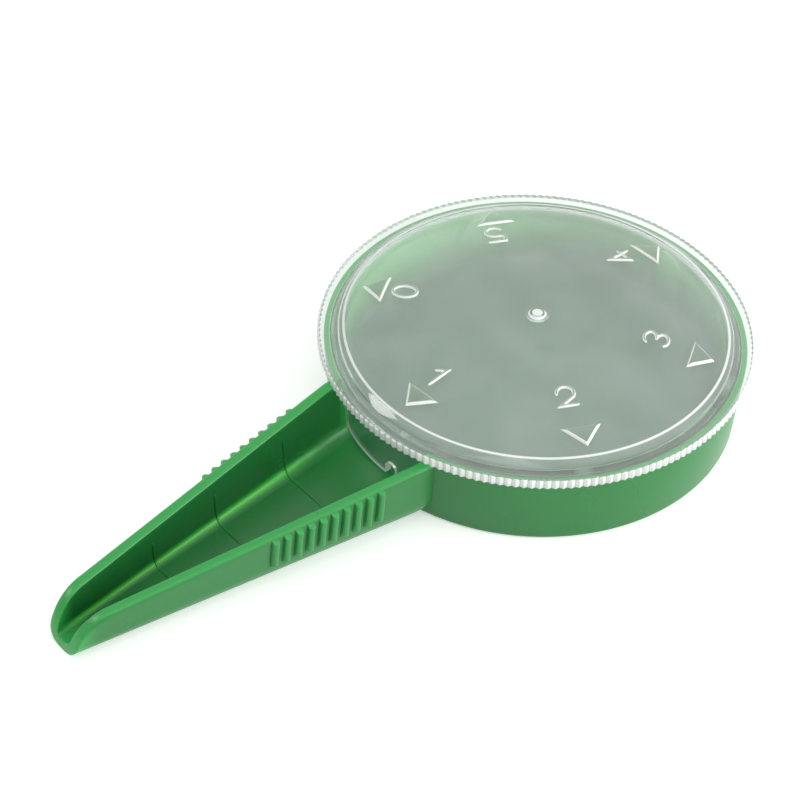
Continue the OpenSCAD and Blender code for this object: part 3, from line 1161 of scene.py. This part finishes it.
@dataclass
class RaisedMarks:
    """Numerals 0 to 5 and their pointers, raised on the dome as fine ridges."""

    form: DialForm
    finish: bpy.types.Material
    stroke: float = 0.5
    height: float = 0.35
    draft: float = 0.36
    digit_h: float = 4.2
    digit_w: float = 3.1
    digit_gaps: tuple[float, ...] = (3.0, 3.5, 6.0, 5.5, 3.5, 3.0)
    digit_shifts: tuple[float, ...] = (0, -0.5, -0.5, 1.0, 1.5, 1.0)
    pointer_len: float = 3.7
    pointer_w: float = 6.1
    pointer_inset: float = 1.8
    pointer_steps: int = 8
    ridge_step: float = 0.8
    end_width: float = 0.55
    end_push: float = 0.7
    end_height: float = 0.75
    sharp_deg: float = 60.0

    @property
    def base_r(self) -> float:
        """Distance of the pointers' bases from the axis."""
        return self.form.shoulder_r - self.pointer_inset - self.pointer_len

    def numeral(self, n: int) -> list[tuple[list[Point], bool]]:
        """A numeral's strokes about its own middle.

        Args:
            n: The numeral.

        Returns:
            Strokes, each with whether it closes on itself.
        """
        h = (self.digit_h - self.stroke) / 2
        w = (self.digit_w - self.stroke) / 2
        low_r = (h + h / 4) / 2
        five_top = [(w, h), (-w, h), (-w, h / 4), (0, h / 4)]
        drawn: dict[int, list[tuple[list[Point], bool]]] = {
            0: [(arc((0, 0), w, 0, 360, 32, rise=h)[:-1], True)],
            1: [([(0, -h), (0, h), (-w, h - 0.8 * w)], False)],
            2: [(arc((0, h - w), w, 180, -35) + [(-w, -h), (w, -h)], False)],
            3: [(arc((0, h / 2), w, 150, -90, rise=h / 2), False), (arc((0, -h / 2), w, 90, -150, rise=h / 2), False)],
            4: [([(w / 2, -h), (w / 2, h), (-w, -h / 3), (w, -h / 3)], False)],
            5: [(five_top + arc((0, -h + low_r), w, 90, -150, rise=low_r)[1:], False)],
        }
        return drawn[n]

    def add_pointer(self, bm: BMesh, n: int) -> None:
        """Adds a pointer: a flat-topped triangle on the dome, with sloping sides.

        Args:
            bm: The mesh that it is added to.
            n: Its mark.
        """
        half = self.pointer_w / 2
        slope = math.hypot(half, self.pointer_len)
        loops = []
        steps, draft = self.pointer_steps, self.draft
        for inset, up in ((0.0, -0.03), (0.0, 0.05), (draft * 0.8, 0.9), (draft, 0.97), (draft + 0.08, 1.0)):
            reach = half - inset * (slope + half) / self.pointer_len
            tip = self.pointer_len - inset * slope / half
            corners = [(-reach, -inset), (reach, -inset), (0.0, -tip)]
            loop = []
            for k in range(3):
                a, b = corners[k], corners[(k + 1) % 3]
                for i in range(steps):
                    p = self.place(n, self.base_r, (a[0] + (b[0] - a[0]) * i / steps, a[1] + (b[1] - a[1]) * i / steps))
                    loop.append((p[0], p[1], self.form.dome_z(math.hypot(*p)) + up * self.height))
            loops.append(loop)
        add_part(bm, loft(loops))

    def place(self, n: int, r: float, p: Point) -> Point:
        """Moves a drawn point to its mark.

        Args:
            n: The mark.
            r: The drawing's distance from the axis.
            p: The point as drawn.

        Returns:
            The point on the dial, seen from above.
        """
        turn = math.radians(self.form.mark_deg(n) + 90)
        x, y = p[0], p[1] - r
        return x * math.cos(turn) - y * math.sin(turn), x * math.sin(turn) + y * math.cos(turn)

    def add_ridge(self, bm: BMesh, path: list[Point], closed: bool) -> None:
        """Adds a ridge along a path on the dome.

        Args:
            bm: The mesh that it is added to.
            path: The middle line, seen from above.
            closed: Whether the path closes on itself.
        """
        fine: list[Point] = []
        count = len(path) if closed else len(path) - 1
        for k in range(count):
            a, b = path[k], path[(k + 1) % len(path)]
            parts = max(1, round(math.dist(a, b) / self.ridge_step))
            fine += [(a[0] + (b[0] - a[0]) * i / parts, a[1] + (b[1] - a[1]) * i / parts) for i in range(parts)]
        if not closed:
            fine.append(path[-1])
        half = self.stroke / 2
        across = ((-1.0, -0.03), (-1.0, 0.45), (-0.62, 0.9), (0.0, 1.0), (0.62, 0.9), (1.0, 0.45), (1.0, -0.03))
        rows = []
        total = len(fine)
        for k, (x, y) in enumerate(fine):
            before = fine[k - 1] if closed or k else None
            after = fine[(k + 1) % total] if closed or k < total - 1 else None
            came = Vector((x - before[0], y - before[1])).normalized() if before else None
            goes = Vector((after[0] - x, after[1] - y)).normalized() if after else None
            ahead = ((came or goes) + (goes or came)).normalized()
            stretch = 1 / max(0.4, ahead.dot(came or goes))
            end = not closed and k in (0, total - 1)
            push = half * (-1 if k == 0 else 1) * self.end_push if end else 0.0
            row = []
            for side, up in across:
                width = side * half * (self.end_width if end else stretch)
                px = x - ahead.y * width + ahead.x * push
                py = y + ahead.x * width + ahead.y * push
                rise = up * self.height * (self.end_height if end and up > 0 else 1)
                row.append(bm.verts.new((px, py, self.form.dome_z(math.hypot(px, py)) + rise)))
            rows.append(row)
        skin_rows(bm, rows, closed)

    def build(self) -> None:
        """Builds and dresses the numerals and the pointers."""
        numerals, pointers = bmesh.new(), bmesh.new()
        for n in range(self.form.marks):
            r = self.base_r - self.digit_gaps[n]
            for path, closed in self.numeral(n):
                shifted = [(x + self.digit_shifts[n], y) for x, y in path]
                self.add_ridge(numerals, [self.place(n, r, p) for p in shifted], closed)
            self.add_pointer(pointers, n)
        for name, bm in (("numeral", numerals), ("pointer", pointers)):
            bmesh.ops.recalc_face_normals(bm, faces=bm.faces)
            piece = to_object(f"{name}_ridges", bm, self.sharp_deg)
            finish_piece(piece, self.finish, Body.DIAL, [f"dial_{name}s"])


# ---------------------------------------------------------------- the studio


@dataclass
class Studio:
    """A pale floor, soft lamps and the camera."""

    elevation_deg: float = 42.46
    roll_deg: float = 2.23
    turn_deg: float = 40.58
    distance: float = 450.0
    lens: float = 134.7
    aim_z: float = 13.2
    shift_x: float = 20.45
    shift_y: float = -10.5
    sensor: float = 36.0
    clip_start: float = 10.0
    floor_half: float = 4000.0
    floor_colour: str = "#f7f7f7"
    floor_lift: float = 0.4
    world_level: float = 0.57
    lamp_aim_z: float = 10.0
    lamps: list[tuple[str, Point3, float, float]] = field(
        default_factory=lambda: [
            ("front_right_softbox", (560.0, -240.0, 240.0), 420.0, 2.8),
            ("overhead_softbox", (-60.0, -60.0, 640.0), 420.0, 0.6),
            ("left_glint_lamp", (-430.0, 60.0, 400.0), 120.0, 0.3),
        ]
    )

    def to_part(self, p: Vector) -> Vector:
        """Turns a point from the camera's ground frame to the part's frame."""
        return Matrix.Rotation(math.radians(-self.turn_deg), 3, "Z") @ p

    def camera(self) -> None:
        """Makes the camera at the photograph's angle."""
        el, roll = math.radians(self.elevation_deg), math.radians(self.roll_deg)
        right = Vector((1, 0, 0))
        down = Vector((0, -math.sin(el), -math.cos(el)))
        ahead = Vector((0, math.cos(el), -math.sin(el)))
        across = math.cos(roll) * right - math.sin(roll) * down
        below = math.sin(roll) * right + math.cos(roll) * down
        aim = Vector((0, 0, self.aim_z)) - self.shift_x * across - self.shift_y * below
        place = self.to_part(aim - self.distance * ahead) * MM
        axes = [self.to_part(v) for v in (across, -below, -ahead)]
        data = bpy.data.cameras.new("camera")
        data.lens = self.lens
        data.sensor_width = self.sensor
        data.clip_start = self.clip_start * MM
        camera = bpy.data.objects.new("camera", data)
        camera.matrix_world = Matrix.Translation(place) @ Matrix(axes).transposed().to_4x4()
        bpy.context.scene.collection.objects.link(camera)
        bpy.context.scene.camera = camera

    def floor(self) -> None:
        """Makes the pale floor, which keeps the sower's shadow."""
        bm = bmesh.new()
        bmesh.ops.create_grid(bm, x_segments=2, y_segments=2, size=self.floor_half)
        floor = to_object("floor", bm)
        material, tree = new_material("pale_floor")
        diffuse = add_node(tree, "BsdfDiffuse", {"Color": linear(self.floor_colour)}).outputs[0]
        lift = add_node(tree, "Emission", {"Color": (1, 1, 1, 1), "Strength": self.floor_lift}).outputs[0]
        lit = add_node(tree, "AddShader", {0: diffuse, 1: lift}).outputs[0]
        mix = add_node(tree, "MixShader", {0: self.background_seen(tree), 1: diffuse, 2: lit})
        add_node(tree, "OutputMaterial", {"Surface": mix.outputs[0]})
        floor.data.materials.append(material)

    def background_seen(self, tree: Tree) -> Socket:
        """Finds where the camera sees a surface by itself, in gloss or through clear plastic.

        Args:
            tree: The node tree.

        Returns:
            1 there, and 0 elsewhere.
        """
        path = add_node(tree, "LightPath").outputs
        direct = {0: path["Is Camera Ray"], 1: path["Is Glossy Ray"]}
        first = add_node(tree, "Math", direct, operation="MAXIMUM").outputs[0]
        return add_node(tree, "Math", {0: first, 1: path["Is Transmission Ray"]}, operation="MAXIMUM").outputs[0]

    def world(self) -> None:
        """Sets the white surroundings, which light the sower more softly than they look."""
        world = bpy.data.worlds.new("white_surroundings")
        world.use_nodes = True
        tree = world.node_tree
        tree.nodes.clear()
        level = add_node(tree, "MapRange", {"Value": self.background_seen(tree), "To Min": self.world_level})
        glow = add_node(tree, "Background", {"Color": (1, 1, 1, 1), "Strength": level.outputs[0]})
        add_node(tree, "OutputWorld", {"Surface": glow.outputs[0]})
        bpy.context.scene.world = world

    def lights(self) -> None:
        """Makes the soft lamps, each aimed at the dial."""
        for name, place, size, watts in self.lamps:
            data = bpy.data.lights.new(name, "AREA")
            data.shape = "SQUARE"
            data.size = size * MM
            data.energy = watts
            lamp = bpy.data.objects.new(name, data)
            where = self.to_part(Vector(place)) * MM
            lamp.location = where
            aim = Vector((0, 0, self.lamp_aim_z)) * MM
            lamp.rotation_euler = (where - aim).to_track_quat("Z", "Y").to_euler()
            bpy.context.scene.collection.objects.link(lamp)

    def build(self) -> None:
        """Builds the studio and sets the plain view."""
        bpy.context.scene.view_settings.view_transform = "Standard"
        self.camera()
        self.floor()
        self.world()
        self.lights()


def main() -> None:
    """Builds the sower and the studio."""
    logging.basicConfig(level=logging.INFO, format="%(message)s")
    Studio().build()
    green = LeafGreenPolypropylene().make()
    clear = ClearPolystyrene().make()
    raised = RaisedPolystyrene().make()
    trough = Trough()
    spout = PouringSpout(trough, green)
    SeedCup(trough, green).build(spout.trough_shape())
    spout.build_lines()
    # painted glow: the ribs are painted a lighter green than the rest of the moulding
    painted_glow_rib_green = LeafGreenPolypropylene(name="green_ribs_painted_glow", colour="#2f9648", flow_colour="#2b8c43").make()
    for side in Side:
        GripRibs(trough, painted_glow_rib_green, side).build()
    form = DialForm()
    ClearDial(form, clear).build()
    RaisedMarks(form, raised).build()


if __name__ == "__main__":
    main()
